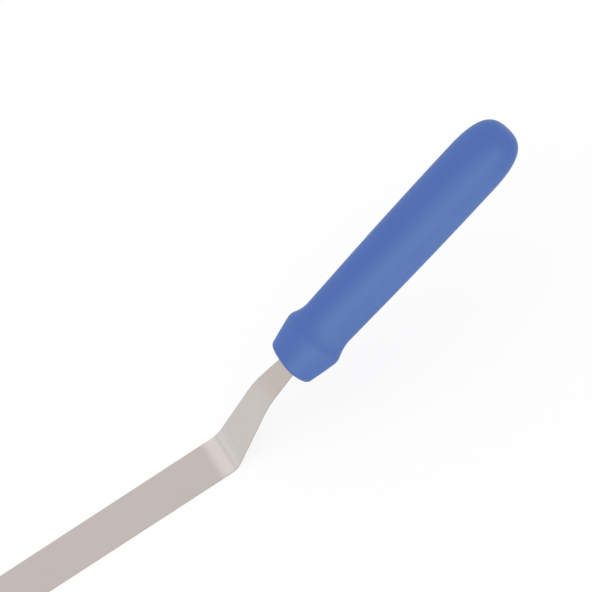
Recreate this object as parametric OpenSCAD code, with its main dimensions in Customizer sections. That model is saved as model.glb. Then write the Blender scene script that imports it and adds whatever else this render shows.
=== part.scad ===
// Cranked palette knife: a round-tipped steel blade with an offset neck, in a handle moulded onto its tang.
// The origin is the middle of the flat blade's underside, which lies on Z = 0. The handle points along +X,
// and the knife is symmetric about Y = 0.

/* [Blade] */
// Length of the flat blade, from the crank to the tip
blade_len = 108; // [80:1:200]
// Width of the blade
blade_w = 19.5; // [16:0.1:32]
// Thickness of the steel strip at the crank, in the neck and in the tang
strip_t = 0.7; // [0.6:0.1:1.6]
// Thickness of the blade at its tip
tip_t = 0.5; // [0.3:0.1:0.6]

/* [Crank] */
// Height of the upper bend above the blade's underside
crank_rise = 15.9; // [14:0.1:28]
// Angle of the riser above the blade
riser_angle = 35.9; // [30:0.1:45]
// Radius inside the lower bend, on the upper face of the steel
lower_bend_r = 8.5; // [4:0.5:18]
// Radius inside the upper bend, on the lower face of the steel
upper_bend_r = 30; // [8:0.5:40]
// Angle of the neck and the handle above the blade
handle_tilt = 20; // [10:0.5:26]
// Length of the neck, from the upper bend to the front of the handle
neck_len = 15.3; // [12:0.1:40]
// Width of the neck where it enters the handle
neck_w = 10; // [9:0.1:13]

/* [Tang] */
// Length of the tang inside the handle
tang_len = 72; // [60:1:90]
// Width of the tang at its rounded end
tang_end_w = 9; // [8:0.1:11]
// Diameter of the keying holes that the handle's plastic fills
key_d = 5; // [3:0.1:6]
// Distance of the first keying hole from the front of the handle
key_first = 26; // [14:1:30]
// Distance between the two keying holes
key_pitch = 30; // [12:1:34]

/* [Handle] */
// Length of the handle
handle_len = 115.6; // [105:0.1:150]
// Width of the handle's front face
front_w = 19.8; // [15:0.1:22]
// Thickness of the handle's front face
front_t = 14.4; // [10:0.1:17]
// Squareness of the front face, where 2 is an ellipse
front_square = 2.6; // [2:0.1:5]
// Rounding of the edge around the front face
front_edge_r = 1.5; // [0.3:0.1:2]
// Width over the finger guard
guard_w = 26.4; // [24:0.1:32]
// Thickness over the finger guard
guard_t = 21.7; // [20:0.1:28]
// Distance of the guard's crest from the front face
guard_pos = 13.4; // [10:0.1:18]
// Rounding of the guard's crest along the handle, to each side
guard_round = 1.1; // [0.5:0.1:3]
// Length of the shoulder behind the guard's crest
shoulder_len = 5.4; // [3:0.1:9]
// Width at the waist behind the guard
waist_w = 19.8; // [17:0.1:24]
// Thickness at the waist behind the guard
waist_t = 20.1; // [16:0.1:23]
// Rounding of the hollow between shoulder and grip along the handle, to each side
waist_round = 2.9; // [1:0.1:6]
// Width of the grip where it is fullest
grip_w = 23.2; // [20:0.1:30]
// Thickness of the grip where it is fullest
grip_t = 20.5; // [17:0.1:27]
// Distance of the fullest part of the grip from the front face
grip_pos = 61; // [45:1:70]
// Length over which the swell of the grip levels out, to each side
grip_round = 25; // [8:1:32]
// Length of the rounded butt
butt_len = 21.5; // [8:0.5:28]
// Fullness of the butt, where 2 is an ellipse
butt_full = 3; // [2:0.1:4]

/* [Hidden] */
$fn = 96;
// Points around the handle and rings along its stretches
ring_points = 48;
edge_rings = 4;
flare_rings = 10;
crest_rings = 6;
shoulder_rings = 12;
grip_rings = 16;
butt_rings = 14;
// Facets of each bend
bend_steps = 12;

// Radii and tangent lengths of the two bends on the lower face of the strip
lower_face_r = lower_bend_r + strip_t;
lower_tangent = lower_face_r * tan(riser_angle / 2);
upper_tangent = upper_bend_r * tan((riser_angle - handle_tilt) / 2);
// Place of the crank, where flat and riser would meet, and corner of the lower face at the upper bend
crank_x = blade_len / 2;
upper_corner = [crank_x + crank_rise / tan(riser_angle), crank_rise];
// Directions along and across the neck, and the front of the handle's axis, midway through the strip
neck_dir = [cos(handle_tilt), sin(handle_tilt)];
neck_normal = [-sin(handle_tilt), cos(handle_tilt)];
front_point = upper_corner + neck_len * neck_dir + strip_t / 2 * neck_normal;

waist_pos = guard_pos + shoulder_len;
butt_start = handle_len - butt_len;
// Along the handle: distance from the front, half width, half thickness, rounding
stations = [
  [0, front_w / 2, front_t / 2, 0],
  [guard_pos, guard_w / 2, guard_t / 2, guard_round],
  [waist_pos, waist_w / 2, waist_t / 2, waist_round],
  [grip_pos, grip_w / 2, grip_t / 2, grip_round],
  [handle_len, grip_w / 2, grip_t / 2, 0],
];

// Places children in the handle's frame: X along its axis from the front, Z across its thickness
module in_handle_frame() {
  translate([front_point[0], 0, front_point[1]])
    rotate([0, -handle_tilt, 0])
      children();
}

function arc(centre, r, from, to) =
  [for (i = [0 : bend_steps]) let (a = from + (to - from) * i / bend_steps) centre + r * [cos(a), sin(a)]];

// One face of the strip, from the start of the lower bend to the end of the tang, at a height above the
// strip's lower face
function bent_face(height) =
  let (
    lower_centre = [crank_x - lower_tangent, lower_face_r],
    riser_dir = [cos(riser_angle), sin(riser_angle)],
    riser_normal = [-sin(riser_angle), cos(riser_angle)],
    upper_centre = upper_corner - upper_tangent * riser_dir - upper_bend_r * riser_normal,
    tang_end = upper_corner + (neck_len + tang_len) * neck_dir
  )
  concat(
    arc(lower_centre, lower_face_r - height, -90, riser_angle - 90),
    arc(upper_centre, upper_bend_r + height, 90 + riser_angle, 90 + handle_tilt),
    [tang_end + height * neck_normal]);

// Side view of the strip: wedge of the flat blade, lower bend, riser, upper bend, neck and tang
module side_profile() {
  upper_face = bent_face(strip_t);
  last = len(upper_face) - 1;
  polygon(concat(
    [[-blade_len / 2, tip_t], [-blade_len / 2, 0]],
    bent_face(0),
    [for (i = [last : -1 : 0]) upper_face[i]]));
}

// Upright prism over the strip's top view: round tip, parallel edges, straight taper of the neck and a tang
// with a round end
module plan_prism() {
  tip_r = blade_w / 2;
  end_r = tang_end_w / 2;
  tip_x = tip_r - blade_len / 2;
  end_x = front_point[0] + tang_len * neck_dir[0] - end_r;
  edge = [[tip_x, tip_r], [crank_x, tip_r], [front_point[0], neck_w / 2], [end_x, end_r]];
  prism_h = front_point[1] + tang_len * neck_dir[1] + strip_t;
  linear_extrude(prism_h)
    polygon(concat(edge, [for (i = [len(edge) - 1 : -1 : 0]) [edge[i][0], -edge[i][1]]]));
  translate([tip_x, 0, 0])
    cylinder(r = tip_r, h = prism_h);
  translate([end_x, 0, 0])
    cylinder(r = end_r, h = prism_h);
}

// The whole steel strip with the keying holes of its tang
module cranked_strip() {
  difference() {
    intersection() {
      translate([0, blade_w / 2, 0])
        rotate([90, 0, 0])
          linear_extrude(blade_w)
            side_profile();
      plan_prism();
    }
    in_handle_frame()
      for (i = [0, 1])
        translate([key_first + i * key_pitch, 0, 0])
          cylinder(d = key_d, h = 3 * strip_t, center = true);
  }
}

module blade() {
  color([0.77, 0.73, 0.72])
    cranked_strip();
}

function total(list) = list * [for (value = list) 1];
function spread(from, to, count) = [for (i = [0 : count - 1]) from + (to - from) * i / count];
// A ramp from zero to x whose corner is rounded over the given length to each side
function ramp(x, round) = x <= -round ? 0 : x >= round ? x : pow(x + round, 2) / (4 * round);
function slope(i, col) = (stations[i + 1][col] - stations[i][col]) / (stations[i + 1][0] - stations[i][0]);
// Half width (column 1) or half thickness (column 2) of the handle, with rounded corners at the stations
function half_size(x, col) =
  stations[0][col] + slope(0, col) * x
  + total([for (i = [1 : len(stations) - 2])
      (slope(i, col) - slope(i - 1, col)) * ramp(x - stations[i][0], stations[i][3])]);
// The section changes from a rounded rectangle at the front to an ellipse at the guard
function squareness(x) = lookup(x, [[0, front_square], [guard_pos, 2]]);
function signed_pow(value, power) = sign(value) * pow(abs(value), power);

// One ring of the handle: shrink scales it towards the axis and inset pulls it in all round
function ring(x, shrink, inset) =
  let (power = 2 / squareness(x))
  [for (k = [0 : ring_points - 1])
    let (angle = 360 * k / ring_points)
    [x,
     (half_size(x, 1) - inset) * shrink * signed_pow(cos(angle), power),
     (half_size(x, 2) - inset) * shrink * signed_pow(sin(angle), power)]];

// Outside of the handle, lofted through its rings from the front face to the butt
module handle_body() {
  crest_start = guard_pos - guard_round;
  crest_end = guard_pos + guard_round;
  shoulder_end = waist_pos + waist_round;
  rings = concat(
    [for (a = spread(0, 90, edge_rings)) ring(front_edge_r * (1 - cos(a)), 1, front_edge_r * (1 - sin(a)))],
    [for (x = spread(front_edge_r, crest_start, flare_rings)) ring(x, 1, 0)],
    [for (x = spread(crest_start, crest_end, crest_rings)) ring(x, 1, 0)],
    [for (x = spread(crest_end, shoulder_end, shoulder_rings)) ring(x, 1, 0)],
    [for (x = spread(shoulder_end, butt_start, grip_rings)) ring(x, 1, 0)],
    [for (a = spread(0, 90, butt_rings))
      ring(butt_start + butt_len * pow(sin(a), 2 / butt_full), pow(cos(a), 2 / butt_full), 0)]);
  count = len(rings);
  pole = count * ring_points;
  last = pole - ring_points;
  points = concat([for (r = rings) each r], [[handle_len, 0, 0]]);
  front_face = [for (k = [0 : ring_points - 1]) k];
  sides = [for (j = [0 : count - 2], k = [0 : ring_points - 1])
    let (a = j * ring_points + k, b = j * ring_points + (k + 1) % ring_points)
    each [[a, a + ring_points, b], [b, a + ring_points, b + ring_points]]];
  butt_fan = [for (k = [0 : ring_points - 1]) [last + k, pole, last + (k + 1) % ring_points]];
  polyhedron(points, concat([front_face], sides, butt_fan));
}

module handle() {
  color([0.33, 0.45, 0.71])
    difference() {
      in_handle_frame()
        handle_body();
      cranked_strip();
    }
}

blade();
handle();
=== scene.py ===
"""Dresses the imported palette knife: a cranked strip of satin steel in a moulded blue handle.

All lengths are in metres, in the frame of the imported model: the underside of the blade lies on Z = 0, the
handle points along +X and the knife is symmetric about Y = 0.
"""

import logging
import math
from collections.abc import Iterator, Sequence
from dataclasses import dataclass, replace
from enum import Enum

import bmesh
import bpy
from mathutils import Matrix, Vector


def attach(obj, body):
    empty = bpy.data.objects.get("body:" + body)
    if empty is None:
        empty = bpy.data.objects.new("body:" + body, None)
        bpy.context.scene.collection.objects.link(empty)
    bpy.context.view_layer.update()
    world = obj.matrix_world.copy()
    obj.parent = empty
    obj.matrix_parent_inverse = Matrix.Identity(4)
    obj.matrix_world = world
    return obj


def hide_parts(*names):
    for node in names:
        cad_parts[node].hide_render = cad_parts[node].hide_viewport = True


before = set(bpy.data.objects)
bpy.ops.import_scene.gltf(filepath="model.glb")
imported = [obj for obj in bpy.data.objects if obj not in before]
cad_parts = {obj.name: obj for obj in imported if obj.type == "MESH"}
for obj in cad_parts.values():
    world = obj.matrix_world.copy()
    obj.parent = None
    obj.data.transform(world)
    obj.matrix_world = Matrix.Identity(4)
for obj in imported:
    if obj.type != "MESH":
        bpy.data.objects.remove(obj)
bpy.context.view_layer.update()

LOG = logging.getLogger("palette_knife")
MM = 0.001
QUARTER_TURN = math.pi / 2
BODY = "root"
# What each point of a mesh holds for its finish
SURFACE_LAYER = "surface_place"
EDGE_LAYER = "edge"
# Points that are closer than this are one point
MERGE_DISTANCE = 0.0005 * MM
BAR_SEGMENTS = 48
# How far the press's marks run askew, per distance across the strip
PRESS_SKEW = 0.033

Colour = tuple[float, float, float]


class Slot(Enum):
    """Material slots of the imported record."""

    STEEL = "steel"
    GRIP = "grip_plastic"


class CadNode(Enum):
    """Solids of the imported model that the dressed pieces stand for."""

    BLADE = "blade"
    HANDLE = "handle"


class SteelTone(Enum):
    """Colours of the steel's stretches: its ground tone, painted highlights and reflections over the crank,
    painted shade at the pressed line and on the neck, and its edges.
    """

    GROUND = (0.554, 0.495, 0.478)
    # Painted highlight: a bright band before the lower bend, standing in for a reflection
    CRANK_HIGHLIGHT = (0.691, 0.630, 0.606)
    # Painted shade along the pressed line, on top of its shallow groove
    PRESS_LINE_SHADE = (0.588, 0.546, 0.523)
    # Painted reflection: a lighter band over the bend
    BEND_REFLECTION = (0.652, 0.617, 0.598)
    # Painted reflection: the riser lighter than the flat
    RISER = (0.604, 0.563, 0.545)
    # Painted shade: the neck darker towards the handle
    NECK = (0.554, 0.497, 0.457)
    EDGE = (0.500, 0.460, 0.440)


class Combining(Enum):
    """Ways in which a tool changes a piece."""

    CUT = "DIFFERENCE"
    JOIN = "UNION"


class Side(Enum):
    """The two long edges of the strip, by the sign of Y."""

    NEAR = -1
    FAR = 1


@dataclass(frozen=True)
class SkinPoint:
    """One point of a ring, with what the finishes read at it.

    Attributes:
        place: Position in the frame.
        surface: Position on the unrolled strip, or the place itself on the handle.
        edge: How exposed the point is to rubbing, from 0 to 1.
    """

    place: Vector
    surface: Vector
    edge: float = 0.0


def smooth_step(low: float, high: float, value: float) -> float:
    """Returns a smooth change from 0 at low to 1 at high."""
    share = min(max((value - low) / (high - low), 0.0), 1.0)
    return share * share * (3.0 - 2.0 * share)


def spread(start: float, stop: float, count: int, closed: bool = False) -> list[float]:
    """Returns the values that divide a stretch evenly, with its end among them if it is closed."""
    values = count + 1 if closed else count
    return [start + (stop - start) * step / count for step in range(values)]


def signed_power(value: float, power: float) -> float:
    """Returns the power of a value's size with the value's sign."""
    return math.copysign(abs(value) ** power, value)


def stand(name: str, mesh: bmesh.types.BMesh) -> bpy.types.Object:
    """Turns a mesh into an object and frees the mesh.

    Args:
        name: Name of the new object.
        mesh: Its mesh.

    Returns:
        The new object, linked to the scene.
    """
    data = bpy.data.meshes.new(name)
    mesh.to_mesh(data)
    mesh.free()
    piece = bpy.data.objects.new(name, data)
    bpy.context.scene.collection.objects.link(piece)
    return piece


def round_bars(name: str, radius: float, height: float, places: Sequence[Matrix]) -> bpy.types.Object:
    """Makes round bars.

    Args:
        name: Name of the new object.
        radius: Radius of each bar.
        height: Height of each bar.
        places: Middles of the bars, with Z along their axes.

    Returns:
        All bars as one object.
    """
    mesh = bmesh.new()
    for place in places:
        bmesh.ops.create_cone(
            mesh,
            cap_ends=True,
            segments=BAR_SEGMENTS,
            radius1=radius,
            radius2=radius,
            depth=height,
            matrix=place,
        )
    return stand(name, mesh)


def combine(piece: bpy.types.Object, tool: bpy.types.Object, way: Combining) -> None:
    """Cuts a tool out of a piece or joins it on, and removes the tool.

    Args:
        piece: The piece, whose mesh is changed.
        tool: A closed mesh.
        way: Whether the tool is cut out or joined on.
    """
    step = piece.modifiers.new(tool.name, "BOOLEAN")
    step.operation = way.value
    step.solver = "EXACT"
    step.object = tool
    graph = bpy.context.evaluated_depsgraph_get()
    plain = piece.data
    changed = piece.evaluated_get(graph)
    piece.data = bpy.data.meshes.new_from_object(changed, preserve_all_data_layers=True, depsgraph=graph)
    piece.modifiers.clear()
    for spent in (tool.data, plain):
        bpy.data.meshes.remove(spent)
    piece.data.name = piece.name


def skin(name: str, rings: Sequence[Sequence[SkinPoint]]) -> bpy.types.Object:
    """Covers a row of closed rings with one closed, smooth mesh.

    Args:
        name: Name of the new object.
        rings: Rings of equal count; the first and the last are closed where they leave a gap.

    Returns:
        The new object, linked to the scene.
    """
    mesh = bmesh.new()
    surface_layer = mesh.verts.layers.float_vector.new(SURFACE_LAYER)
    edge_layer = mesh.verts.layers.float.new(EDGE_LAYER)
    rows: list[list[bmesh.types.BMVert]] = []
    for ring in rings:
        row = []
        for point in ring:
            vert = mesh.verts.new(point.place)
            vert[surface_layer] = point.surface
            vert[edge_layer] = point.edge
            row.append(vert)
        rows.append(row)
    for row, following in zip(rows, rows[1:]):
        for k in range(len(row)):
            mesh.faces.new((row[k - 1], row[k], following[k], following[k - 1]))
    bmesh.ops.remove_doubles(mesh, verts=mesh.verts, dist=MERGE_DISTANCE)
    bmesh.ops.holes_fill(mesh, edges=[edge for edge in mesh.edges if edge.is_boundary])
    bmesh.ops.recalc_face_normals(mesh, faces=mesh.faces)
    for face in mesh.faces:
        face.smooth = True
    return stand(name, mesh)


class NodeBench:
    """Adds nodes to one shader tree and wires them."""

    def __init__(self, tree: bpy.types.NodeTree) -> None:
        """Takes over a node tree and empties it."""
        self.tree = tree
        self.tree.nodes.clear()

    def add(self, kind: str, **settings: object) -> bpy.types.Node:
        """Adds a node.

        Args:
            kind: Type name of the node.
            settings: Properties of the node, or input values by socket name, in lower case with
                underscores.

        Returns:
            The new node.
        """
        node = self.tree.nodes.new(kind)
        sockets = {socket.name.lower().replace(" ", "_"): socket for socket in reversed(node.inputs)}
        for key, value in settings.items():
            if key in sockets:
                self.feed(sockets[key], value)
            else:
                setattr(node, key, value)
        return node

    def feed(self, socket: bpy.types.NodeSocket, value: object) -> None:
        """Fills an input.

        Args:
            socket: The input.
            value: A socket that is wired into it, or the plain value that it is set to.
        """
        if isinstance(value, bpy.types.NodeSocket):
            self.tree.links.new(value, socket)
        else:
            socket.default_value = value

    def maths(self, operation: str, *values: object) -> bpy.types.NodeSocket:
        """Adds a math node.

        Args:
            operation: Name of the operation.
            values: Up to three sockets or plain values.

        Returns:
            The result.
        """
        node = self.tree.nodes.new("ShaderNodeMath")
        node.operation = operation
        for socket, value in zip(node.inputs, values):
            self.feed(socket, value)
        return node.outputs[0]

    def about(self, middle: object, swing: float, value: bpy.types.NodeSocket) -> bpy.types.NodeSocket:
        """Returns middle plus swing times a value."""
        return self.maths("MULTIPLY_ADD", value, swing, middle)

    def centred(self, swing: float, value: bpy.types.NodeSocket) -> bpy.types.NodeSocket:
        """Returns swing times a value's distance from one half."""
        return self.about(-swing / 2, swing, value)

    def scaled(self, colour: object, factor: object) -> bpy.types.NodeSocket:
        """Multiplies a colour.

        Args:
            colour: The colour.
            factor: What it is multiplied by.

        Returns:
            The new colour.
        """
        node = self.tree.nodes.new("ShaderNodeVectorMath")
        node.operation = "SCALE"
        self.feed(node.inputs[0], colour)
        self.feed(node.inputs["Scale"], factor)
        return node.outputs[0]

    def blend(self, share: object, first: object, second: object) -> bpy.types.NodeSocket:
        """Blends two colours.

        Args:
            share: How far the first turns into the second, from 0 to 1.
            first: The first colour.
            second: The second colour.

        Returns:
            The blend.
        """
        node = self.tree.nodes.new("ShaderNodeMix")
        node.data_type = "RGBA"
        self.feed(node.inputs["Factor"], share)
        colour_inputs = [socket for socket in node.inputs if socket.type == "RGBA"]
        self.feed(colour_inputs[0], first)
        self.feed(colour_inputs[1], second)
        return next(socket for socket in node.outputs if socket.type == "RGBA")

    def group(self, tree: bpy.types.NodeTree, **values: object) -> bpy.types.Node:
        """Places a node group.

        Args:
            tree: The group.
            values: Input values by socket name, in lower case with underscores.

        Returns:
            The new group node.
        """
        node = self.tree.nodes.new("ShaderNodeGroup")
        node.node_tree = tree
        for key, value in values.items():
            self.feed(node.inputs[key.replace("_", " ").title()], value)
        return node

    def show(self, kind: str, shader: bpy.types.NodeSocket) -> None:
        """Ends the tree with an output node of the given type that shows a shader."""
        self.feed(self.add(kind).inputs["Surface"], shader)


class Effects:
    """Node groups that more than one finish uses, each built once."""

    # Noise stays near one half, so the drift is its distance from there, stretched
    DRIFT_GAIN = 3.2
    DRIFT_DETAIL = 3.0
    GRAIN_DETAIL = 4.0
    GRAIN_ROUGHNESS = 0.6
    # Range of noise over which a mark fades in
    MARK_FADE = 0.08
    RUB_DETAIL = 5.0
    # Range of noise between the least and the most rubbed patches, and the least share
    RUB_LOW = 0.35
    RUB_HIGH = 0.65
    RUB_LEAST = 0.35

    def __init__(self) -> None:
        """Builds the three groups."""
        self.wander = self._wander()
        self.grain = self._grain()
        self.rubbing = self._rubbing()

    @staticmethod
    def _group(
        name: str, inputs: dict[str, str], outputs: Sequence[str]
    ) -> tuple[NodeBench, bpy.types.Node, bpy.types.Node]:
        """Starts a group with named sockets.

        Args:
            name: Name of the group.
            inputs: Socket types by socket name.
            outputs: Names of the value outputs.

        Returns:
            The bench of the new tree, and the nodes of the group's inputs and outputs.
        """
        tree = bpy.data.node_groups.new(name, "ShaderNodeTree")
        for socket_name, socket_type in inputs.items():
            tree.interface.new_socket(socket_name, in_out="INPUT", socket_type=socket_type)
        for socket_name in outputs:
            tree.interface.new_socket(socket_name, in_out="OUTPUT", socket_type="NodeSocketFloat")
        bench = NodeBench(tree)
        return bench, bench.add("NodeGroupInput"), bench.add("NodeGroupOutput")

    def _wander(self) -> bpy.types.NodeTree:
        """Builds slow drift over a surface.

        Returns:
            The group, whose drift runs between about -1 and 1.
        """
        bench, given, result = self._group(
            "slow_wander",
            {"Place": "NodeSocketVector", "Per Metre": "NodeSocketFloat"},
            ["Drift"],
        )
        noise = bench.add(
            "ShaderNodeTexNoise",
            vector=given.outputs["Place"],
            scale=given.outputs["Per Metre"],
            detail=self.DRIFT_DETAIL,
        )
        drift = bench.centred(self.DRIFT_GAIN, noise.outputs["Fac"])
        bench.feed(result.inputs["Drift"], drift)
        return bench.tree

    def _grain(self) -> bpy.types.NodeTree:
        """Builds fine grain that can be stretched into lines.

        Returns:
            The group, which puts out a height from 0 to 1 and sparse marks.
        """
        bench, given, result = self._group(
            "fine_grain",
            {
                "Place": "NodeSocketVector",
                "Stretch": "NodeSocketVector",
                "Per Metre": "NodeSocketFloat",
                "Sparse": "NodeSocketFloat",
            },
            ["Height", "Marks"],
        )
        stretched = bench.add("ShaderNodeVectorMath", operation="MULTIPLY")
        bench.feed(stretched.inputs[0], given.outputs["Place"])
        bench.feed(stretched.inputs[1], given.outputs["Stretch"])
        noise = bench.add(
            "ShaderNodeTexNoise",
            vector=stretched.outputs[0],
            scale=given.outputs["Per Metre"],
            detail=self.GRAIN_DETAIL,
            roughness=self.GRAIN_ROUGHNESS,
        )
        over = bench.maths("SUBTRACT", noise.outputs["Fac"], given.outputs["Sparse"])
        marks = bench.add("ShaderNodeMapRange", value=over, from_min=0.0, from_max=self.MARK_FADE)
        bench.feed(result.inputs["Height"], noise.outputs["Fac"])
        bench.feed(result.inputs["Marks"], marks.outputs["Result"])
        return bench.tree

    def _rubbing(self) -> bpy.types.NodeTree:
        """Builds the rubbing of exposed edges, broken up by noise.

        Returns:
            The group, which puts out how much a place is rubbed.
        """
        bench, given, result = self._group(
            "rubbed_edges",
            {
                "Edge": "NodeSocketFloat",
                "Place": "NodeSocketVector",
                "Per Metre": "NodeSocketFloat",
                "Amount": "NodeSocketFloat",
            },
            ["Rubbed"],
        )
        noise = bench.add(
            "ShaderNodeTexNoise",
            vector=given.outputs["Place"],
            scale=given.outputs["Per Metre"],
            detail=self.RUB_DETAIL,
        )
        patchy = bench.add(
            "ShaderNodeMapRange",
            value=noise.outputs["Fac"],
            from_min=self.RUB_LOW,
            from_max=self.RUB_HIGH,
            to_min=self.RUB_LEAST,
            to_max=1.0,
        )
        worn = bench.maths("MULTIPLY", given.outputs["Edge"], patchy.outputs["Result"])
        amount = bench.maths("MULTIPLY", worn, given.outputs["Amount"])
        bench.feed(result.inputs["Rubbed"], amount)
        return bench.tree


def new_material(name: str) -> tuple[bpy.types.Material, NodeBench]:
    """Starts a material.

    Args:
        name: Name of the material.

    Returns:
        The new node material and the bench of its emptied tree.
    """
    material = bpy.data.materials.new(name)
    material.use_nodes = True
    return material, NodeBench(material.node_tree)


@dataclass(frozen=True)
class Wear:
    """How a finish varies over its surface.

    Attributes:
        drift_per_metre: Count of the slow changes of tone.
        drift_shade: Swing of the colour with them.
        drift_gloss: Swing of the roughness with them.
        grain_per_metre: Count of the fine grain's dots or lines.
        grain_stretch: Scale of the grain in each direction, less than 1 for lines.
        grain_depth: Depth of the grain.
        grain_bump: Strength of the grain's relief.
        grain_gloss: Swing of the roughness with the grain.
        rub_per_metre: Count of the patches into which rubbing breaks up.
        rub_amount: Share of an exposed edge that is rubbed.
        rub_gloss: Change of the roughness where it is rubbed.
        grain_sparse: Noise above which the grain shows as marks.
    """

    drift_per_metre: float
    drift_shade: float
    drift_gloss: float
    grain_per_metre: float
    grain_stretch: tuple[float, float, float]
    grain_depth: float
    grain_bump: float
    grain_gloss: float
    rub_per_metre: float
    rub_amount: float
    rub_gloss: float
    grain_sparse: float = 1.0


class WornSurface:
    """The shared effects, placed in one material with that finish's own wear."""

    def __init__(
        self, bench: NodeBench, effects: Effects, wear: Wear, place: bpy.types.NodeSocket
    ) -> None:
        """Places the effects.

        Args:
            bench: Bench of the material's tree.
            effects: The shared node groups.
            wear: How the finish varies.
            place: Position on the surface.
        """
        self.bench = bench
        self.wear = wear
        edge = bench.add("ShaderNodeAttribute", attribute_name=EDGE_LAYER).outputs["Fac"]
        drift = bench.group(effects.wander, place=place, per_metre=wear.drift_per_metre)
        grain = bench.group(
            effects.grain,
            place=place,
            stretch=wear.grain_stretch,
            per_metre=wear.grain_per_metre,
            sparse=wear.grain_sparse,
        )
        rubbing = bench.group(
            effects.rubbing,
            edge=edge,
            place=place,
            per_metre=wear.rub_per_metre,
            amount=wear.rub_amount,
        )
        self.drift = drift.outputs["Drift"]
        self.height = grain.outputs["Height"]
        self.marks = grain.outputs["Marks"]
        self.rubbed = rubbing.outputs["Rubbed"]

    def shade(self) -> bpy.types.NodeSocket:
        """Returns the factor by which the colour drifts."""
        return self.bench.about(1.0, self.wear.drift_shade, self.drift)

    def roughness(self, mean: float) -> bpy.types.NodeSocket:
        """Varies the roughness with drift, grain and rubbing.

        Args:
            mean: Mean roughness of the finish.

        Returns:
            The roughness at each place.
        """
        drifting = self.bench.about(mean, self.wear.drift_gloss, self.drift)
        fresh = self.bench.maths("ADD", drifting, self.bench.centred(self.wear.grain_gloss, self.height))
        return self.bench.about(fresh, self.wear.rub_gloss, self.rubbed)

    def normal(self) -> bpy.types.NodeSocket:
        """Adds the grain's relief.

        Returns:
            The normal at each place.
        """
        bump = self.bench.add(
            "ShaderNodeBump",
            strength=self.wear.grain_bump,
            distance=self.wear.grain_depth,
            height=self.height,
        )
        return bump.outputs["Normal"]


@dataclass(frozen=True)
class SatinSteel:
    """Finish of the strip: ground stainless steel, with painted reflections over the crank and painted
    shade on the neck.

    Attributes:
        tones: Tones along the unrolled strip, by distance from the start of the lower bend: painted
            reflections over the crank and painted shade at the pressed line and on the neck.
        press_skew: How far the press's marks run askew, per distance across the strip.
        edge_tone: Tone of the deburred edges.
        roughness: Mean roughness of the ground faces.
        grain_shade: Swing of the colour with the grinding lines.
        wear: How the finish varies, with its grain drawn out into grinding lines along the strip.
    """

    tones: tuple[tuple[float, SteelTone], ...] = (
        (-4.6 * MM, SteelTone.GROUND),
        (-1.7 * MM, SteelTone.CRANK_HIGHLIGHT),
        (1.2 * MM, SteelTone.CRANK_HIGHLIGHT),
        (2.6 * MM, SteelTone.PRESS_LINE_SHADE),
        (3.8 * MM, SteelTone.BEND_REFLECTION),
        (8 * MM, SteelTone.RISER),
        (27 * MM, SteelTone.RISER),
        (36 * MM, SteelTone.NECK),
    )
    press_skew: float = PRESS_SKEW
    edge_tone: SteelTone = SteelTone.EDGE
    roughness: float = 0.36
    grain_shade: float = 0.04
    wear: Wear = Wear(
        drift_per_metre=70.0,
        drift_shade=0.018,
        drift_gloss=0.03,
        grain_per_metre=4200.0,
        grain_stretch=(0.03, 1.0, 1.0),
        grain_depth=0.012 * MM,
        grain_bump=0.35,
        grain_gloss=0.1,
        rub_per_metre=900.0,
        rub_amount=0.8,
        rub_gloss=0.08,
    )

    def material(self, effects: Effects) -> bpy.types.Material:
        """Builds the finish.

        Args:
            effects: The shared node groups.

        Returns:
            The steel's material.
        """
        material, bench = new_material("satin_steel")
        place = bench.add("ShaderNodeAttribute", attribute_name=SURFACE_LAYER).outputs["Vector"]
        surface = WornSurface(bench, effects, self.wear, place)
        lines = bench.centred(self.grain_shade, surface.height)
        shade = bench.maths("ADD", surface.shade(), lines)
        # The tone ramp paints reflections over the crank and shade on the neck into the colour
        ground = bench.scaled(self._tone_ramp(bench, place), shade)
        shader = bench.add(
            "ShaderNodeBsdfPrincipled",
            base_color=bench.blend(surface.rubbed, ground, (*self.edge_tone.value, 1.0)),
            metallic=1.0,
            roughness=surface.roughness(self.roughness),
            normal=surface.normal(),
        )
        bench.show("ShaderNodeOutputMaterial", shader.outputs["BSDF"])
        return material

    def _tone_ramp(self, bench: NodeBench, place: bpy.types.NodeSocket) -> bpy.types.NodeSocket:
        """Lays the tones along the strip, with their painted reflections and painted shade.

        Args:
            bench: Bench of the material's tree.
            place: Position on the unrolled strip.

        Returns:
            The steel's colour at each place.
        """
        parts = bench.add("ShaderNodeSeparateXYZ", vector=place).outputs
        along = bench.about(parts["X"], self.press_skew, parts["Y"])
        first = self.tones[0][0]
        last = self.tones[-1][0]
        share = bench.add("ShaderNodeMapRange", value=along, from_min=first, from_max=last)
        ramp = bench.add("ShaderNodeValToRGB", fac=share.outputs["Result"])
        stops = ramp.color_ramp.elements
        while len(stops) > 1:
            stops.remove(stops[-1])
        for stop, (distance, tone) in enumerate(self.tones):
            position = (distance - first) / (last - first)
            element = stops.new(position) if stop else stops[0]
            element.position = position
            element.color = (*tone.value, 1.0)
        return ramp.outputs["Color"]


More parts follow.
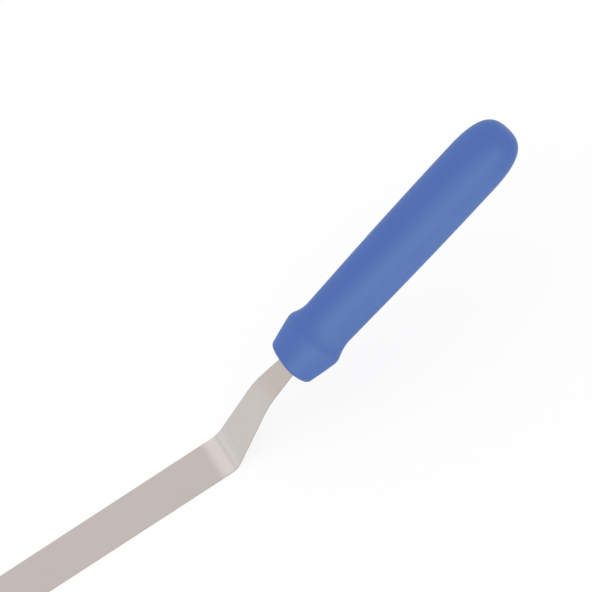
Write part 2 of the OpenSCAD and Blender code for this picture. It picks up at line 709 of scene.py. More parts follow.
@dataclass(frozen=True)
class MouldedPlastic:
    """Finish of the handle: blue plastic with the fine satin texture of its mould.

    Attributes:
        colour: Colour of the plastic.
        rubbed_colour: Colour where use has polished the front edge and the butt.
        roughness: Mean roughness.
        ior: Refractive index, chosen below the real plastic's so that the rims stay dark.
        mark_shade: Change of the colour at the texture's marks.
        wear: How the finish varies, with the mould's texture as its grain.
    """

    colour: Colour = (0.0658, 0.1430, 0.4330)
    rubbed_colour: Colour = (0.0678, 0.1473, 0.4417)
    roughness: float = 0.52
    ior: float = 1.3
    mark_shade: float = 0.03
    wear: Wear = Wear(
        drift_per_metre=45.0,
        drift_shade=0.025,
        drift_gloss=0.03,
        grain_per_metre=2600.0,
        grain_stretch=(1.0, 1.0, 1.0),
        grain_sparse=0.66,
        grain_depth=0.02 * MM,
        grain_bump=0.3,
        grain_gloss=0.06,
        rub_per_metre=350.0,
        rub_amount=0.7,
        rub_gloss=-0.08,
    )

    def material(self, effects: Effects) -> bpy.types.Material:
        """Builds the finish.

        Args:
            effects: The shared node groups.

        Returns:
            The plastic's material.
        """
        material, bench = new_material("moulded_plastic")
        place = bench.add("ShaderNodeTexCoord").outputs["Object"]
        surface = WornSurface(bench, effects, self.wear, place)
        body = bench.scaled(self.colour, surface.shade())
        marked = bench.scaled(body, bench.about(1.0, self.mark_shade, surface.marks))
        shader = bench.add(
            "ShaderNodeBsdfPrincipled",
            base_color=bench.blend(surface.rubbed, marked, (*self.rubbed_colour, 1.0)),
            roughness=surface.roughness(self.roughness),
            ior=self.ior,
            normal=surface.normal(),
        )
        bench.show("ShaderNodeOutputMaterial", shader.outputs["BSDF"])
        return material


def seen_directly(bench: NodeBench) -> bpy.types.NodeSocket:
    """Tells what is seen from what only lights the object.

    Args:
        bench: Bench of the material's tree.

    Returns:
        1 for what the camera sees, in reflections too, and 0 for the light that falls on the object.
    """
    path = bench.add("ShaderNodeLightPath").outputs
    mirrored = bench.maths("MAXIMUM", path["Is Glossy Ray"], path["Is Transmission Ray"])
    return bench.maths("MAXIMUM", path["Is Camera Ray"], mirrored)


@dataclass(frozen=True)
class PaleFloor:
    """Finish of the floor: matt and white to the camera and in reflections, with a light shadow.

    Attributes:
        colour: Colour of the floor.
        lift: Share of the floor's look that is plain white, which keeps the shadow light.
    """

    colour: Colour = (0.98, 0.98, 0.98)
    lift: float = 0.83

    def material(self) -> bpy.types.Material:
        """Builds the finish.

        Returns:
            The floor's material.
        """
        material, bench = new_material("pale_floor")
        matt = bench.add("ShaderNodeBsdfDiffuse", color=(*self.colour, 1.0))
        white = bench.add("ShaderNodeEmission", strength=1.0)
        seen = bench.maths("MULTIPLY", seen_directly(bench), self.lift)
        mixed = bench.add("ShaderNodeMixShader", fac=seen)
        bench.feed(mixed.inputs[1], matt.outputs["BSDF"])
        bench.feed(mixed.inputs[2], white.outputs["Emission"])
        bench.show("ShaderNodeOutputMaterial", mixed.outputs["Shader"])
        return material


@dataclass(frozen=True)
class Station:
    """One cross-section of the strip.

    Attributes:
        x: Place of its lower face along the knife.
        z: Height of its lower face.
        lean: Angle of the strip above the ground.
        thickness: Thickness of the strip.
        along: Distance along the unrolled lower face from the start of the lower bend.
        outline: Outward direction of the far edge in the strip's plane, along and across.
    """

    x: float
    z: float
    lean: float
    thickness: float
    along: float
    outline: tuple[float, float]


@dataclass
class CrankedBlade:
    """Steel strip in one piece: round-tipped blade, crank, tapered neck and tang.

    Attributes:
        blade_len: Length of the flat blade, from the crank to the tip.
        blade_w: Width of the blade.
        strip_t: Thickness of the strip at the crank, in the neck and in the tang.
        tip_t: Thickness of the blade at its tip.
        crank_rise: Height of the upper bend above the blade's underside.
        riser_angle: Angle of the riser above the blade.
        lower_bend_r: Radius inside the lower bend, on the upper face.
        upper_bend_r: Radius inside the upper bend, on the lower face.
        handle_tilt: Angle of the neck and the handle above the blade.
        neck_len: Length of the neck, from the upper bend to the front of the handle.
        neck_w: Width of the neck where it enters the handle.
        tang_len: Length of the tang inside the handle.
        tang_end_w: Width of the tang at its rounded end.
        key_d: Diameter of the keying holes.
        key_first: Distance of the first keying hole from the front of the handle.
        key_pitch: Distance between the two keying holes.
        edge_round: Rounding of the deburred edges.
        press_line: Distance of the pressed line from the start of the lower bend.
        press_line_w: Half the width of the pressed line.
        press_line_depth: Depth of the pressed line.
        press_skew: How far the pressed line runs askew, per distance across the strip.
        across: Places of a section's points across the strip, from far edge to near edge.
        corner_points: Points round each rounded corner of a section.
        tip_rings: Sections round the tip.
        flat_rings: Sections of the flat.
        line_rings: Sections over the pressed line.
        bend_rings: Sections over the lower bend.
        riser_rings: Sections of the riser.
        upper_bend_rings: Sections of the upper bend.
        neck_rings: Sections of the neck and the tang.
        end_rings: Sections round the end of the tang.
        shading_weight: How strongly large faces set the shading next to the rounded edges.
    """

    blade_len: float = 108 * MM
    blade_w: float = 19.5 * MM
    strip_t: float = 0.7 * MM
    tip_t: float = 0.5 * MM
    crank_rise: float = 15.9 * MM
    riser_angle: float = math.radians(35.9)
    lower_bend_r: float = 8.5 * MM
    upper_bend_r: float = 30 * MM
    handle_tilt: float = math.radians(20)
    neck_len: float = 15.3 * MM
    neck_w: float = 10 * MM
    tang_len: float = 72 * MM
    tang_end_w: float = 9 * MM
    key_d: float = 5 * MM
    key_first: float = 26 * MM
    key_pitch: float = 30 * MM
    edge_round: float = 0.16 * MM
    press_line: float = 2.6 * MM
    press_line_w: float = 0.5 * MM
    press_line_depth: float = 0.03 * MM
    press_skew: float = PRESS_SKEW
    across: tuple[float, ...] = (1.0, 0.96, 0.75, 0.5, 0.25, 0.0, -0.25, -0.5, -0.75, -0.96, -1.0)
    corner_points: int = 4
    tip_rings: int = 22
    flat_rings: int = 30
    line_rings: int = 18
    bend_rings: int = 24
    riser_rings: int = 14
    upper_bend_rings: int = 14
    neck_rings: int = 26
    end_rings: int = 10
    shading_weight: int = 80

    @property
    def tip_r(self) -> float:
        """Radius of the round tip."""
        return self.blade_w / 2

    @property
    def tip_x(self) -> float:
        """Middle of the round tip along the knife."""
        return self.tip_r - self.blade_len / 2

    @property
    def crank_x(self) -> float:
        """Place where the undersides of flat and riser would meet."""
        return self.blade_len / 2

    @property
    def lower_face_r(self) -> float:
        """Radius of the lower bend on the underside."""
        return self.lower_bend_r + self.strip_t

    @property
    def lower_bend_len(self) -> float:
        """Length of the lower bend on the underside."""
        return self.lower_face_r * self.riser_angle

    @property
    def flat_end_x(self) -> float:
        """End of the flat, where the lower bend starts."""
        return self.crank_x - self.lower_face_r * math.tan(self.riser_angle / 2)

    @property
    def riser_start(self) -> Vector:
        """Start of the riser on the underside, as X and Z."""
        sine, cosine = math.sin(self.riser_angle), math.cos(self.riser_angle)
        return Vector((self.flat_end_x + self.lower_face_r * sine, self.lower_face_r * (1 - cosine)))

    @property
    def riser_dir(self) -> Vector:
        """Direction of the riser, as X and Z."""
        return Vector((math.cos(self.riser_angle), math.sin(self.riser_angle)))

    @property
    def riser_len(self) -> float:
        """Length of the riser between its bends, on the underside."""
        return (self.upper_corner - self.riser_start).length - self.upper_tangent

    @property
    def upper_corner(self) -> Vector:
        """Corner of riser and neck on the underside, as X and Z."""
        return Vector((self.crank_x + self.crank_rise / math.tan(self.riser_angle), self.crank_rise))

    @property
    def upper_turn(self) -> float:
        """Angle of the upper bend."""
        return self.riser_angle - self.handle_tilt

    @property
    def upper_tangent(self) -> float:
        """Distance from the upper corner to either end of the upper bend, on the underside."""
        return self.upper_bend_r * math.tan(self.upper_turn / 2)

    @property
    def neck_dir(self) -> Vector:
        """Direction of the neck and the tang, as X and Z."""
        return Vector((math.cos(self.handle_tilt), math.sin(self.handle_tilt)))

    @property
    def front_point(self) -> Vector:
        """Handle's axis at its front, midway through the strip, as X and Z."""
        normal = Vector((-math.sin(self.handle_tilt), math.cos(self.handle_tilt)))
        return self.upper_corner + self.neck_len * self.neck_dir + self.strip_t / 2 * normal

    @property
    def tang_end_x(self) -> float:
        """Middle of the tang's round end along the knife."""
        return self.front_point.x + self.tang_len * self.neck_dir.x - self.tang_end_w / 2

    @property
    def handle_frame(self) -> Matrix:
        """Frame of the handle: X along its axis from the front, Z across its thickness."""
        x, z = self.front_point
        return Matrix.Translation((x, 0.0, z)) @ Matrix.Rotation(-self.handle_tilt, 4, "Y")

    def key_bars(self, name: str, clearance: float = 0.0) -> bpy.types.Object:
        """Makes bars through the tang's two keying holes.

        Args:
            name: Name of the new object.
            clearance: Distance by which the bars are thinner than the holes all round.

        Returns:
            Both bars as one object, long enough to reach well past the strip's faces.
        """
        depths = (self.key_first, self.key_first + self.key_pitch)
        places = [self.handle_frame @ Matrix.Translation((depth, 0.0, 0.0)) for depth in depths]
        return round_bars(name, self.key_d / 2 - clearance, 3 * self.strip_t, places)

    def half_width(self, x: float) -> float:
        """Measures the strip's top view.

        Args:
            x: Place along the knife.

        Returns:
            Half the width of the strip there.
        """
        end_r = self.tang_end_w / 2
        front_x = self.front_point.x
        end_x = self.tang_end_x
        if x < self.tip_x:
            return math.sqrt(max(self.tip_r**2 - (x - self.tip_x) ** 2, 0.0))
        if x < self.crank_x:
            return self.tip_r
        if x < front_x:
            share = (x - self.crank_x) / (front_x - self.crank_x)
            return self.tip_r + (self.neck_w / 2 - self.tip_r) * share
        if x < end_x:
            share = (x - front_x) / (end_x - front_x)
            return self.neck_w / 2 + (end_r - self.neck_w / 2) * share
        return math.sqrt(max(end_r**2 - (x - end_x) ** 2, 0.0))

    def stations(self) -> Iterator[Station]:
        """Lines up the whole strip.

        Yields:
            Its cross-sections, from the tip to the end of the tang.
        """
        yield from self._flat()
        yield from self._lower_bend()
        yield from self._riser()
        yield from self._upper_bend()
        yield from self._neck_and_tang()

    def _flat(self) -> Iterator[Station]:
        """Lines up the round tip and the flat.

        Yields:
            Their cross-sections, from the tip on.
        """
        for turn in spread(0.0, QUARTER_TURN, self.tip_rings):
            x = self.tip_x - self.tip_r * math.cos(turn)
            yield self._flat_station(x, (-math.cos(turn), math.sin(turn)))
        for x in spread(self.tip_x, self.flat_end_x, self.flat_rings):
            yield self._flat_station(x, (0.0, 1.0))

    def _flat_station(self, x: float, outline: tuple[float, float]) -> Station:
        """Places a cross-section of the flat, which tapers in thickness towards the tip.

        Args:
            x: Place along the knife.
            outline: Outward direction of the far edge, along and across.

        Returns:
            The cross-section.
        """
        share = (x + self.blade_len / 2) / (self.flat_end_x + self.blade_len / 2)
        thickness = self.tip_t + (self.strip_t - self.tip_t) * share
        along = x - self.flat_end_x
        return Station(x, z=0.0, lean=0.0, thickness=thickness, along=along, outline=outline)

    def _sloped_station(self, x: float, z: float, lean: float, along: float) -> Station:
        """Places a cross-section beyond the flat, with the outline's direction from its taper.

        Args:
            x: Place along the knife.
            z: Height of the lower face.
            lean: Angle of the strip above the ground.
            along: Distance along the unrolled lower face.

        Returns:
            The cross-section.
        """
        half_step = 0.05 * MM
        widening = self.half_width(x + half_step) - self.half_width(x - half_step)
        slope = widening / (2 * half_step) * math.cos(lean)
        length = math.hypot(slope, 1.0)
        outline = (-slope / length, 1.0 / length)
        return Station(x, z, lean, thickness=self.strip_t, along=along, outline=outline)

    def _lower_bend(self) -> Iterator[Station]:
        """Lines up the lower bend.

        Yields:
            Its cross-sections, closer together at the pressed line.
        """
        radius = self.lower_face_r
        reach = self.press_line_w + self.press_skew * self.tip_r
        clear_of_line = 1.1 * reach
        line = spread(self.press_line - reach, self.press_line + reach, self.line_rings, closed=True)
        even = spread(0.0, self.lower_bend_len, self.bend_rings)
        beside = [along for along in even if abs(along - self.press_line) > clear_of_line]
        for along in sorted(line + beside):
            lean = along / radius
            x = self.flat_end_x + radius * math.sin(lean)
            yield self._sloped_station(x, radius * (1 - math.cos(lean)), lean, along)

    def _riser(self) -> Iterator[Station]:
        """Lines up the riser.

        Yields:
            Its cross-sections, from the lower bend on.
        """
        for step in spread(0.0, self.riser_len, self.riser_rings):
            x, z = self.riser_start + step * self.riser_dir
            yield self._sloped_station(x, z, self.riser_angle, self.lower_bend_len + step)

    def _upper_bend(self) -> Iterator[Station]:
        """Lines up the upper bend.

        Yields:
            Its cross-sections, from the riser on.
        """
        radius = self.upper_bend_r
        start_x, start_z = self.riser_start + self.riser_len * self.riser_dir
        start_along = self.lower_bend_len + self.riser_len
        for done in spread(0.0, self.upper_turn, self.upper_bend_rings):
            lean = self.riser_angle - done
            x = start_x + radius * (math.sin(self.riser_angle) - math.sin(lean))
            z = start_z + radius * (math.cos(lean) - math.cos(self.riser_angle))
            yield self._sloped_station(x, z, lean, start_along + radius * done)

    def _neck_and_tang(self) -> Iterator[Station]:
        """Lines up the neck and the tang.

        Yields:
            Their cross-sections, from the upper bend to the tang's round end.
        """
        start_x = self.upper_corner.x + self.upper_tangent * self.neck_dir.x
        for x in spread(start_x, self.tang_end_x, self.neck_rings):
            yield self._tang_station(x)
        for turn in spread(0.0, QUARTER_TURN, self.end_rings, closed=True):
            x = self.tang_end_x + self.tang_end_w / 2 * math.sin(turn)
            yield replace(self._tang_station(x), outline=(math.sin(turn), math.cos(turn)))

    def _tang_station(self, x: float) -> Station:
        """Places a cross-section beyond the upper bend.

        Args:
            x: Place along the knife.

        Returns:
            The cross-section.
        """
        start_x, start_z = self.upper_corner + self.upper_tangent * self.neck_dir
        start_along = self.lower_bend_len + self.riser_len + self.upper_bend_r * self.upper_turn
        step = (x - start_x) / self.neck_dir.x
        z = start_z + step * self.neck_dir.y
        return self._sloped_station(x, z, self.handle_tilt, start_along + step)

    def ring(self, station: Station) -> list[SkinPoint]:
        """Draws the rounded cross-section of the strip.

        Args:
            station: Where the cross-section is.

        Returns:
            The points round the section: upper face, near edge, lower face, far edge.
        """
        top = station.thickness
        upper = [
            self._point(station, share, self.edge_round, top - self._groove(station, share))
            for share in self.across
        ]
        lower = [self._point(station, share, self.edge_round, 0.0) for share in reversed(self.across)]
        near = self._rounded_edge(station, Side.NEAR)
        far = self._rounded_edge(station, Side.FAR)
        return [*upper, *near, *lower, *reversed(far)]

    def _rounded_edge(self, station: Station, side: Side) -> list[SkinPoint]:
        """Draws one long edge of a cross-section.

        Args:
            station: Where the cross-section is.
            side: Which of the two edges.

        Returns:
            The points from the upper face round to the lower face.
        """
        turns = spread(0.0, QUARTER_TURN, self.corner_points, closed=True)[1:]
        insets = [self.edge_round * (1 - math.sin(turn)) for turn in turns]
        drops = [self.edge_round * (1 - math.cos(turn)) for turn in turns]
        heights = [*(station.thickness - drop for drop in drops), *reversed(drops)]
        return [
            self._point(station, side.value, inset, height, 1.0)
            for inset, height in zip([*insets, *reversed(insets)], heights)
        ]

    def _groove(self, station: Station, share: float) -> float:
        """Measures the line that the press leaves in the upper face of the lower bend.

        Args:
            station: Where the cross-section is.
            share: Place across the strip, from -1 at the near edge to 1 at the far edge.

        Returns:
            The depth of the line there.
        """
        askew = station.along + self.press_skew * share * self.half_width(station.x)
        offset = abs(askew - self.press_line) / self.press_line_w
        return self.press_line_depth * (1.0 - smooth_step(0.0, 1.0, offset))

    def _point(
        self, station: Station, share: float, inset: float, height: float, edge: float = 0.0
    ) -> SkinPoint:
        """Places one point of a cross-section.

        Args:
            station: Where the cross-section is.
            share: Place across the strip, from -1 at the near edge to 1 at the far edge.
            inset: Distance in from the outline.
            height: Height above the lower face.
            edge: How exposed the point is.

        Returns:
            The point, with its place on the unrolled strip.
        """
        outward_along, outward_across = station.outline
        shift = -inset * outward_along
        cosine, sine = math.cos(station.lean), math.sin(station.lean)
        x = station.x - height * sine
        half = self.half_width(x) - inset * outward_across
        y = share * max(half, 0.0)
        place = Vector((x + shift * cosine, y, station.z + height * cosine + shift * sine))
        return SkinPoint(place, Vector((station.along + shift, y, height)), edge)

    def build(self) -> bpy.types.Object:
        """Builds the strip.

        Returns:
            One closed mesh with evenly shaded faces and the tang's keying holes.
        """
        piece = skin("cranked_blade", [self.ring(station) for station in self.stations()])
        combine(piece, self.key_bars("keying_holes"), Combining.CUT)
        shading = piece.modifiers.new("even_shading", "WEIGHTED_NORMAL")
        shading.weight = self.shading_weight
        return piece

    def dress(self, piece: bpy.types.Object, effects: Effects) -> None:
        """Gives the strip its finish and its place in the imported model.

        Args:
            piece: The built strip.
            effects: The shared node groups.
        """
        piece.data.materials.append(SatinSteel().material(effects))
        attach(piece, BODY)
        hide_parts(CadNode.BLADE.value)


@dataclass(frozen=True)
class GripStation:
    """A place along the handle where its outline changes direction.

    Attributes:
        x: Distance from the front face.
        half_w: Half the width there.
        half_t: Half the thickness there.
        rounding: Length over which the change is rounded, to each side.
    """

    x: float
    half_w: float
    half_t: float
    rounding: float


@dataclass
class MouldedHandle:
    """Handle moulded onto the tang: squared front, finger guard, waist, swelling grip and full butt.

    Attributes:
        strip: The steel that the handle is moulded onto.
        handle_len: Length of the handle.
        front_w: Width of the front face.
        front_t: Thickness of the front face.
        front_square: Squareness of the front face, where 2 is an ellipse.
        front_edge_r: Rounding of the edge round the front face.
        guard_w: Width over the finger guard.
        guard_t: Thickness over the finger guard.
        guard_pos: Distance of the guard's crest from the front face.
        guard_round: Rounding of the crest along the handle, to each side.
        shoulder_len: Length of the shoulder behind the crest.
        waist_w: Width at the waist.
        waist_t: Thickness at the waist.
        waist_round: Rounding of the hollow at the waist along the handle, to each side.
        grip_w: Width of the grip where it is fullest.
        grip_t: Thickness of the grip where it is fullest.
        grip_pos: Distance of the fullest part of the grip from the front face.
        grip_round: Length over which the swell of the grip levels out, to each side.
        butt_len: Length of the rounded butt.
        butt_full: Fullness of the butt, where 2 is an ellipse.
        parting_depth: Depth of the two parting lines.
        parting_half_w: Half the width of a parting line.
        slot_clearance: Gap between the plastic and the steel.
        slot_lip: Rounding of the slot's lip in the front face.
        lip_land: Depth by which that rounding is set back from the front face.
        slot_square: Squareness of the slot, where 2 is an ellipse.
        front_rub: How exposed the front edge is to rubbing.
        butt_rub: How exposed the butt is to rubbing.
        sharp_angle: Angle from which an edge stays sharp.
        ring_step: Degrees between a ring's points.
        line_offsets: Degrees from a parting line to the points at it.
        slot_end_rings: Rings round the end of the slot.
        slot_shares: Places of the rings along the slot, as shares of its depth.
        lip_turns: Places of the rings round the slot's lip, as shares of its rounding.
        front_shares: Places of the rings of the front face, from the slot outwards.
        edge_rings: Rings round the front edge.
        flare_rings: Rings from the front edge to the crest.
        crest_rings: Rings over the crest.
        shoulder_rings: Rings down the shoulder and through the waist.
        grip_rings: Rings along the grip.
        butt_rings: Rings round the butt.
    """

    strip: CrankedBlade
    handle_len: float = 115.6 * MM
    front_w: float = 19.8 * MM
    front_t: float = 14.4 * MM
    front_square: float = 2.6
    front_edge_r: float = 1.5 * MM
    guard_w: float = 26.4 * MM
    guard_t: float = 21.7 * MM
    guard_pos: float = 13.4 * MM
    guard_round: float = 1.1 * MM
    shoulder_len: float = 5.4 * MM
    waist_w: float = 19.8 * MM
    waist_t: float = 20.1 * MM
    waist_round: float = 2.9 * MM
    grip_w: float = 23.2 * MM
    grip_t: float = 20.5 * MM
    grip_pos: float = 61 * MM
    grip_round: float = 25 * MM
    butt_len: float = 21.5 * MM
    butt_full: float = 3.0
    parting_depth: float = 0.03 * MM
    parting_half_w: float = 0.16 * MM
    slot_clearance: float = 0.02 * MM
    slot_lip: float = 0.12 * MM
    lip_land: float = 0.02 * MM
    slot_square: float = 12.0
    front_rub: float = 0.7
    butt_rub: float = 0.6
    sharp_angle: float = math.radians(50)
    ring_step: int = 3
    line_offsets: tuple[float, ...] = (-1.6, -1.0, -0.6, -0.3, 0.0, 0.3, 0.6, 1.0, 1.6)
    slot_end_rings: int = 8
    slot_shares: tuple[float, ...] = (0.75, 0.5, 0.25)
    lip_turns: tuple[float, ...] = (0.0, 0.3, 0.6, 0.9)
    front_shares: tuple[float, ...] = (0.08, 0.35, 0.65, 0.92)
    edge_rings: int = 7
    flare_rings: int = 30
    crest_rings: int = 12
    shoulder_rings: int = 24
    grip_rings: int = 44
    butt_rings: int = 30

    @property
    def waist_pos(self) -> float:
        """Distance of the waist from the front face."""
        return self.guard_pos + self.shoulder_len

    @property
    def butt_start(self) -> float:
        """Distance from the front face at which the butt starts to round off."""
        return self.handle_len - self.butt_len

    def outline(self) -> list[GripStation]:
        """Lists where the handle's outline changes direction.

        Returns:
            The stations from front to butt.
        """
        return [
            GripStation(0.0, self.front_w / 2, self.front_t / 2, 0.0),
            GripStation(self.guard_pos, self.guard_w / 2, self.guard_t / 2, self.guard_round),
            GripStation(self.waist_pos, self.waist_w / 2, self.waist_t / 2, self.waist_round),
            GripStation(self.grip_pos, self.grip_w / 2, self.grip_t / 2, self.grip_round),
            GripStation(self.handle_len, self.grip_w / 2, self.grip_t / 2, 0.0),
        ]

    @staticmethod
    def _ramp(x: float, rounding: float) -> float:
        """Bends a line with a rounded corner.

        Args:
            x: Distance from the corner.
            rounding: Length over which the corner is rounded, to each side.

        Returns:
            Zero before the corner and x after it, with a smooth change between.
        """
        if x <= -rounding:
            return 0.0
        if x >= rounding:
            return x
        return (x + rounding) ** 2 / (4 * rounding)

    def half_size(self, x: float) -> tuple[float, float]:
        """Measures the handle.

        Args:
            x: Distance from the front face.

        Returns:
            Half the width and half the thickness there.
        """
        marks = self.outline()
        sizes = []
        for values in ([mark.half_w for mark in marks], [mark.half_t for mark in marks]):
            slopes = [
                (values[i + 1] - values[i]) / (marks[i + 1].x - marks[i].x) for i in range(len(marks) - 1)
            ]
            size = values[0] + slopes[0] * x
            for i in range(1, len(slopes)):
                size += (slopes[i] - slopes[i - 1]) * self._ramp(x - marks[i].x, marks[i].rounding)
            sizes.append(size)
        return sizes[0], sizes[1]

    def squareness(self, x: float) -> float:
        """Returns the section's squareness, which falls from the front to an ellipse at the guard."""
        share = min(x / self.guard_pos, 1.0)
        return self.front_square + (2.0 - self.front_square) * share

    def angles(self) -> list[float]:
        """Spaces the points of a ring.

        Returns:
            Their angles, closer together at the two parting lines.
        """
        even = [angle for angle in range(0, 360, self.ring_step) if angle % 180 != 0]
        lines = [line + offset for line in (0.0, 180.0) for offset in self.line_offsets]
        return [math.radians(angle) for angle in sorted(even + lines)]

    def _to_frame(self, x: float, y: float, z: float) -> Vector:
        """Returns a point of the handle's own frame in the knife's frame."""
        return self.strip.handle_frame @ Vector((x, y, z))

    def _exposure(self, x: float) -> float:
        """Judges how exposed the outside is to rubbing.

        Args:
            x: Distance from the front face.

        Returns:
            The exposure, most at the front edge and then at the butt.
        """
        front = 1.0 - smooth_step(0.0, self.front_edge_r, x)
        butt = smooth_step(self.butt_start, self.handle_len, x)
        return max(self.front_rub * front, self.butt_rub * butt)

    def ring(self, x: float, shrink: float = 1.0, inset: float = 0.0) -> list[SkinPoint]:
        """Draws one ring of the handle's outside.

        Args:
            x: Distance from the front face.
            shrink: Scale of the ring towards the axis.
            inset: Distance by which the ring is pulled in all round.

        Returns:
            The ring's points, with the parting lines sunk in.
        """
        half_w, half_t = self.half_size(x)
        power = 2.0 / self.squareness(x)
        edge = self._exposure(x)
        points = []
        for angle in self.angles():
            y = (half_w - inset) * shrink * signed_power(math.cos(angle), power)
            z = (half_t - inset) * shrink * signed_power(math.sin(angle), power)
            line = 1.0 - smooth_step(0.0, self.parting_half_w, abs(z))
            sunk = self.parting_depth * line * shrink
            y -= math.copysign(min(sunk, abs(y)), y)
            place = self._to_frame(x, y, z)
            points.append(SkinPoint(place, place, edge))
        return points

    def slot_ring(self, depth: float, half_w: float, grow: float) -> list[SkinPoint]:
        """Draws one ring of the slot that the tang fills.

        Args:
            depth: Distance from the front face.
            half_w: Half the width of the tang there.
            grow: Distance by which the slot is wider than the tang all round.

        Returns:
            The ring's points.
        """
        power = 2.0 / self.slot_square
        half_t = self.strip.strip_t / 2
        points = []
        for angle in self.angles():
            y = (half_w + grow) * signed_power(math.cos(angle), power)
            z = (half_t + grow) * signed_power(math.sin(angle), power)
            place = self._to_frame(depth, y, z)
            points.append(SkinPoint(place, place))
        return points

    def mouth_ring(self) -> list[SkinPoint]:
        """Returns the slot's ring in the front face."""
        return self.slot_ring(0.0, self.strip.neck_w / 2, self.slot_clearance + self.slot_lip)

    def slot_rings(self) -> Iterator[list[SkinPoint]]:
        """Lines the slot that the tang fills.

        Yields:
            Its rings, from the end of the tang to the front face.
        """
        strip = self.strip
        front_x = strip.front_point.x
        cosine = strip.neck_dir.x
        end_r = strip.tang_end_w / 2
        for turn in reversed(spread(0.0, QUARTER_TURN, self.slot_end_rings, closed=True)):
            depth = (strip.tang_end_x + end_r * math.sin(turn) - front_x) / cosine
            yield self.slot_ring(depth, end_r * math.cos(turn), self.slot_clearance)
        for share in self.slot_shares:
            x = front_x + (strip.tang_end_x - front_x) * share
            yield self.slot_ring((x - front_x) / cosine, strip.half_width(x), self.slot_clearance)
        for turn in self.lip_turns:
            depth = self.slot_lip * (1 - turn) + self.lip_land
            lip = self.slot_lip * (1 - math.sqrt(1 - turn**2))
            yield self.slot_ring(depth, strip.neck_w / 2, self.slot_clearance + lip)
        yield self.mouth_ring()

    def front_rings(self) -> Iterator[list[SkinPoint]]:
        """Covers the flat front face.

        Yields:
            Its rings, from the slot outwards.
        """
        inner = self.mouth_ring()
        outer = self.ring(0.0, inset=self.front_edge_r)
        for share in self.front_shares:
            places = [start.place.lerp(end.place, share) for start, end in zip(inner, outer)]
            yield [SkinPoint(place, place) for place in places]

    def outside_rings(self) -> Iterator[list[SkinPoint]]:
        """Covers the outside.

        Yields:
            Its rings, from the front edge to the pole of the butt.
        """
        radius = self.front_edge_r
        crest_start = self.guard_pos - self.guard_round
        crest_end = self.guard_pos + self.guard_round
        shoulder_end = self.waist_pos + self.waist_round
        for turn in spread(0.0, QUARTER_TURN, self.edge_rings):
            yield self.ring(radius * (1 - math.cos(turn)), inset=radius * (1 - math.sin(turn)))
        stretches = [
            (radius, crest_start, self.flare_rings),
            (crest_start, crest_end, self.crest_rings),
            (crest_end, shoulder_end, self.shoulder_rings),
            (shoulder_end, self.butt_start, self.grip_rings),
        ]
        for start, stop, count in stretches:
            for x in spread(start, stop, count):
                yield self.ring(x)
        power = 2.0 / self.butt_full
        for turn in spread(0.0, QUARTER_TURN, self.butt_rings, closed=True):
            x = self.butt_start + self.butt_len * math.sin(turn) ** power
            yield self.ring(x, shrink=math.cos(turn) ** power)

    def build(self) -> bpy.types.Object:
        """Builds the handle.

        Returns:
            One closed mesh: slot with pegs, front face and outside.
        """
        rings = [*self.slot_rings(), *self.front_rings(), *self.outside_rings()]
        piece = skin("moulded_handle", rings)
        combine(piece, self.strip.key_bars("pegs", self.slot_clearance), Combining.JOIN)
        piece.data.set_sharp_from_angle(angle=self.sharp_angle)
        return piece

    def dress(self, piece: bpy.types.Object, effects: Effects) -> None:
        """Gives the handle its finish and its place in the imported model.

        Args:
            piece: The built handle.
            effects: The shared node groups.
        """
        piece.data.materials.append(MouldedPlastic().material(effects))
        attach(piece, BODY)
        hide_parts(CadNode.HANDLE.value)


@dataclass(frozen=True)
class SheenPanel:
    """A rectangular lit panel that lights only the handle, mostly as a sheen.

    Attributes:
        name: Name of the light.
        place: Its middle.
        facing: Point that it faces.
        size: Its two sides.
        glow: Brightness of its surface, in which 1 is white.
        tint: Colour of its light.
    """

    name: str
    place: Vector
    facing: Vector
    size: tuple[float, float]
    glow: float
    tint: Colour

    def hang(self, shown_in: bpy.types.Collection) -> None:
        """Adds the light to the scene.

        Args:
            shown_in: The pieces that it lights.
        """
        data = bpy.data.lights.new(self.name, "AREA")
        data.shape = "RECTANGLE"
        data.size, data.size_y = self.size
        data.energy = self.glow * math.pi * data.size * data.size_y
        data.color = self.tint
        lamp = bpy.data.objects.new(self.name, data)
        lamp.location = self.place
        lamp.rotation_euler = (self.place - self.facing).to_track_quat("Z", "Y").to_euler()
        lamp.visible_camera = False
        lamp.visible_diffuse = False
        lamp.light_linking.receiver_collection = shown_in
        bpy.context.scene.collection.objects.link(lamp)


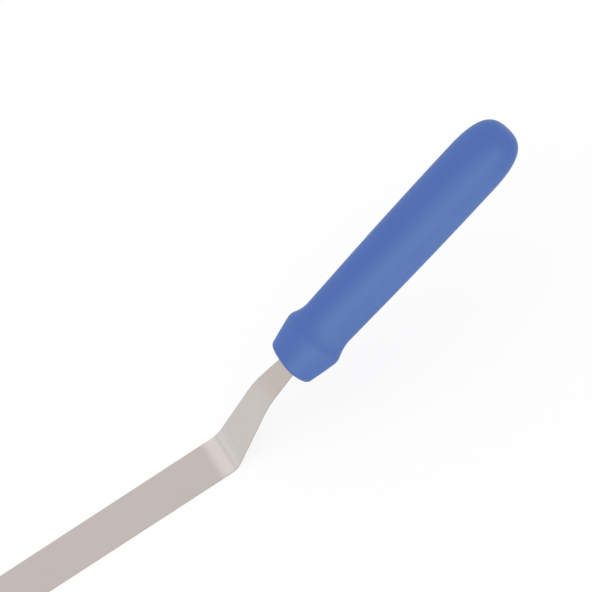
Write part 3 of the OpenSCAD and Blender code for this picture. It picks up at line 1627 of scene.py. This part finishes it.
@dataclass
class Studio:
    """Pale floor, soft light and the camera of the picture.

    Attributes:
        floor_size: Side of the square floor.
        floor_cells: Divisions of the floor along each side.
        floor_gap: Distance of the floor below the blade.
        dome: Strength of the even light from all sides.
        panel_glow: Brightness of the panel at the front left.
        panel_turn: Turn of the panel from the front towards the blade, round the aim.
        panel_height: Angle of the panel above the ground, seen from the aim.
        panel_distance: Distance of the panel from the aim.
        panel_size: Sides of the panel.
        card_glow: Brightness of the card on the floor in front of the handle.
        card_place: Middle of the card.
        card_size: Sides of the card.
        panel_tint: Colour of both, a pale yellowish green.
        aim: Point at the middle of the picture.
        camera_distance: Distance of the camera from that point.
        camera_height: Angle of the camera above the ground.
        camera_roll: Turn of the picture about the line of sight.
        focal_pixels: Focal length in pixels of the picture.
        picture_pixels: Side of the square picture.
        sensor_mm: Width of the camera's sensor in millimetres.
    """

    floor_size: float = 8.0
    floor_cells: int = 8
    floor_gap: float = 0.02 * MM
    dome: float = 1.0
    panel_glow: float = 3.5
    panel_turn: float = math.radians(26)
    panel_height: float = math.radians(23.5)
    panel_distance: float = 1.0
    panel_size: tuple[float, float] = (3.1, 1.09)
    card_glow: float = 2.1
    card_place: tuple[float, float, float] = (-0.025, -0.515, 0.0005)
    card_size: tuple[float, float] = (0.45, 0.97)
    panel_tint: Colour = (0.85, 1.0, 0.6)
    aim: tuple[float, float, float] = (105.52 * MM, 0.0, 48.68 * MM)
    camera_distance: float = 1.0
    camera_height: float = math.radians(45.39)
    camera_roll: float = math.radians(32.99)
    focal_pixels: float = 2850.0
    picture_pixels: float = 592.0
    sensor_mm: float = 36.0

    def build(self, handle: bpy.types.Object) -> None:
        """Builds the floor, the lights and the camera.

        Args:
            handle: The dressed handle, on which the panels give a sheen.
        """
        bpy.context.scene.view_settings.view_transform = "Standard"
        self._floor()
        self._dome()
        shown_in = bpy.data.collections.new("panel_sheen")
        shown_in.objects.link(handle)
        for panel in (self._front_panel(), self._floor_card()):
            panel.hang(shown_in)
        self._camera()

    def _floor(self) -> None:
        """Lays the floor just under the blade."""
        mesh = bmesh.new()
        cells = self.floor_cells
        bmesh.ops.create_grid(mesh, x_segments=cells, y_segments=cells, size=self.floor_size / 2)
        floor = stand("floor", mesh)
        floor.location = (0.0, 0.0, -self.floor_gap)
        floor.data.materials.append(PaleFloor().material())

    def _dome(self) -> None:
        """Lights the scene evenly from all sides, on a white background."""
        world = bpy.data.worlds.new("studio_dome")
        world.use_nodes = True
        bench = NodeBench(world.node_tree)
        background = bench.add("ShaderNodeBackground", color=(1.0, 1.0, 1.0, 1.0), strength=self.dome)
        bench.show("ShaderNodeOutputWorld", background.outputs["Background"])
        bpy.context.scene.world = world

    def _front_panel(self) -> SheenPanel:
        """Places the panel at the front left.

        Returns:
            The panel, which faces the handle.
        """
        aim = Vector(self.aim)
        level = math.cos(self.panel_height)
        away = Vector(
            (
                -level * math.sin(self.panel_turn),
                -level * math.cos(self.panel_turn),
                math.sin(self.panel_height),
            )
        )
        place = aim + self.panel_distance * away
        return SheenPanel("front_panel", place, aim, self.panel_size, self.panel_glow, self.panel_tint)

    def _floor_card(self) -> SheenPanel:
        """Places the card on the floor.

        Returns:
            The card, which faces upwards.
        """
        place = Vector(self.card_place)
        above = place + Vector((0.0, 0.0, 1.0))
        return SheenPanel("floor_card", place, above, self.card_size, self.card_glow, self.panel_tint)

    def _camera(self) -> None:
        """Sets up the camera at the picture's viewing angle."""
        data = bpy.data.cameras.new("camera")
        data.sensor_width = self.sensor_mm
        data.lens = self.sensor_mm * self.focal_pixels / self.picture_pixels
        camera = bpy.data.objects.new("camera", data)
        cos_h, sin_h = math.cos(self.camera_height), math.sin(self.camera_height)
        cos_r, sin_r = math.cos(self.camera_roll), math.sin(self.camera_roll)
        right = Vector((cos_r, -sin_r * sin_h, -sin_r * cos_h))
        up = Vector((sin_r, cos_r * sin_h, cos_r * cos_h))
        back = Vector((0.0, -cos_h, sin_h))
        turn = Matrix((right, up, back)).transposed().to_4x4()
        camera.matrix_world = Matrix.Translation(Vector(self.aim) + self.camera_distance * back) @ turn
        bpy.context.scene.collection.objects.link(camera)
        bpy.context.scene.camera = camera


def main() -> None:
    """Builds and dresses the knife piece by piece, and sets up its studio."""
    logging.basicConfig(level=logging.INFO, format="%(name)s: %(message)s")
    effects = Effects()
    strip = CrankedBlade()
    pieces = []
    for part in (strip, MouldedHandle(strip)):
        piece = part.build()
        part.dress(piece, effects)
        points, faces = len(piece.data.vertices), len(piece.data.polygons)
        LOG.info("%s: %d points, %d faces", piece.name, points, faces)
        pieces.append(piece)
    Studio().build(pieces[-1])


if __name__ == "__main__":
    main()
